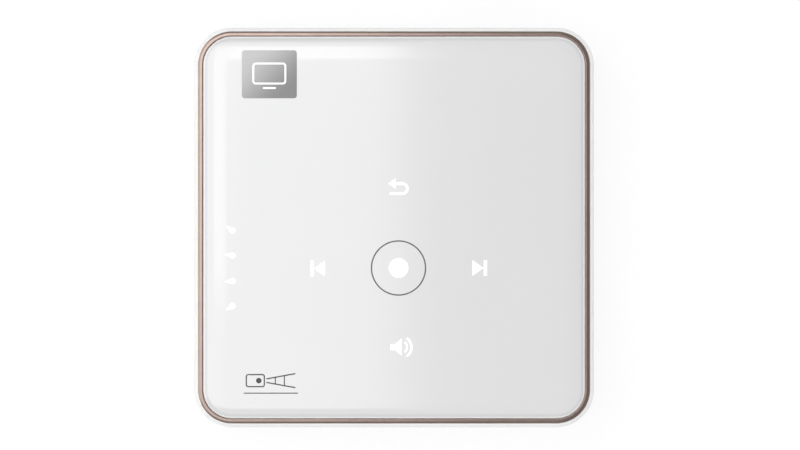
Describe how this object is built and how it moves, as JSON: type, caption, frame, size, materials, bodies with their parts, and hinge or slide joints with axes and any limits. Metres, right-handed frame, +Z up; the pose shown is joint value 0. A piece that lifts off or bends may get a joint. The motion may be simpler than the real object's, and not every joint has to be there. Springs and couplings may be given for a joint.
{
  "type": "pocket projector",
  "caption": "Square white pocket projector with a glossy touch panel in a rose-gold rim, lens window and vents in front, sockets behind, thumb wheel for focus and a tripod thread below.",
  "frame": {"origin": "middle of the plane that the feet stand on", "axes": "+Z up; +Y the way the lens looks; +X to the right of someone behind the projector"},
  "size_m": [0.08, 0.08, 0.022],
  "materials": {
    "panel": "high gloss, white under a clear layer",
    "trim": "polished rose gold",
    "case": "gloss white",
    "feet": "matt grey",
    "bezel": "gloss black",
    "lens_parts": "matt black",
    "wheel": "satin grey",
    "knob": "satin white",
    "optics": "coated glass",
    "splitter": "dichroic coating",
    "engine": "die-cast, dark",
    "engine_cover": "satin sheet",
    "circuit": "green solder mask",
    "white_circuit": "white solder mask",
    "chips": "moulded black",
    "connectors": "ivory nylon",
    "lamp_boards": "metal-core board",
    "copper": "bare copper",
    "fins": "plain",
    "steel": "zinc plated",
    "sockets": "nickel plated",
    "nut": "turned",
    "cell": "foil pouch",
    "foam": "closed foam",
    "magnet": "nickel plated",
    "cone": "treated paper",
    "guide": "milky clear",
    "key_lights": "light source",
    "fan": "satin black"
  },
  "bodies": {
    "case": {"touch_panel": "panel", "trim_ring": "trim", "light_guide": "guide", "touch_board": "white_circuit", "key_lamps": "key_lights", "housing": "case", "base_cover": "case", "rubber_feet": "feet", "case_screws": "steel", "tripod_nut": "nut", "battery": "cell", "battery_pad": "foam", "main_board": "circuit", "board_screws": "steel", "main_chips": "chips", "power_coils": "chips", "board_plugs": "connectors", "video_socket": "sockets", "usb_socket": "sockets", "charge_socket": "sockets", "audio_jack": "lens_parts", "power_switch": "sockets", "speaker_frame": "lens_parts", "speaker_magnet": "magnet", "speaker_cone": "cone", "speaker_gasket": "foam", "engine_housing": "engine", "engine_lid": "engine_cover", "engine_screws": "steel", "green_lamp": "lamp_boards", "red_blue_lamp": "lamp_boards", "collimator_lenses": "optics", "splitter_mirror": "splitter", "fly_eye_lens": "optics", "relay_lens": "optics", "prism_pair": "optics", "mirror_chip": "chips", "chip_board": "circuit", "chip_heat_sink": "fins", "lens_barrel": "lens_parts", "ring_clip": "steel", "rear_lens": "optics", "wheel_axle": "steel", "lens_bezel": "bezel", "fan_case": "fan", "fan_cover": "fan", "fin_stack": "fins", "heat_pipe": "copper", "heat_spreader": "copper"},
    "focus_wheel": {"focus_wheel": "wheel"},
    "focus_ring": {"focus_ring": "lens_parts"},
    "lens_cell": {"lens_cell": "lens_parts", "cell_lenses": "optics", "cam_pin": "steel"},
    "fan_rotor": {"fan_rotor": "fan"},
    "switch_knob": {"switch_knob": "knob"}
  },
  "joints": [
    {"name": "lens_slide", "type": "slide", "parent": "case", "child": "lens_cell", "axis": [0, 1, 0], "range_m": [-0.00088, 0.00088]},
    {"name": "focus_wheel_turn", "type": "hinge", "parent": "case", "child": "focus_wheel", "pos_m": [0.03265, 0.0282, 0.0102], "axis": [0, 1, 0], "range_deg": [-108.01, 108.01]},
    {"name": "focus_ring_turn", "type": "hinge", "parent": "case", "child": "focus_ring", "pos_m": [0.0203, 0.02315, 0.0102], "axis": [0, 1, 0], "range_deg": [-88.01, 88.01]},
    {"name": "fan_spin", "type": "hinge", "parent": "case", "child": "fan_rotor", "pos_m": [-0.024, 0.017, 0.00815], "axis": [0, 0, 1], "continuous": true},
    {"name": "power_switch_slide", "type": "slide", "parent": "case", "child": "switch_knob", "axis": [0, 1, 0], "range_m": [0, 0.0025]}
  ],
  "couplings": [
    {"joint": "focus_ring_turn", "follows": "lens_slide", "rad_per_m": -1745.3},
    {"joint": "focus_wheel_turn", "follows": "lens_slide", "rad_per_m": 2142}
  ]
}
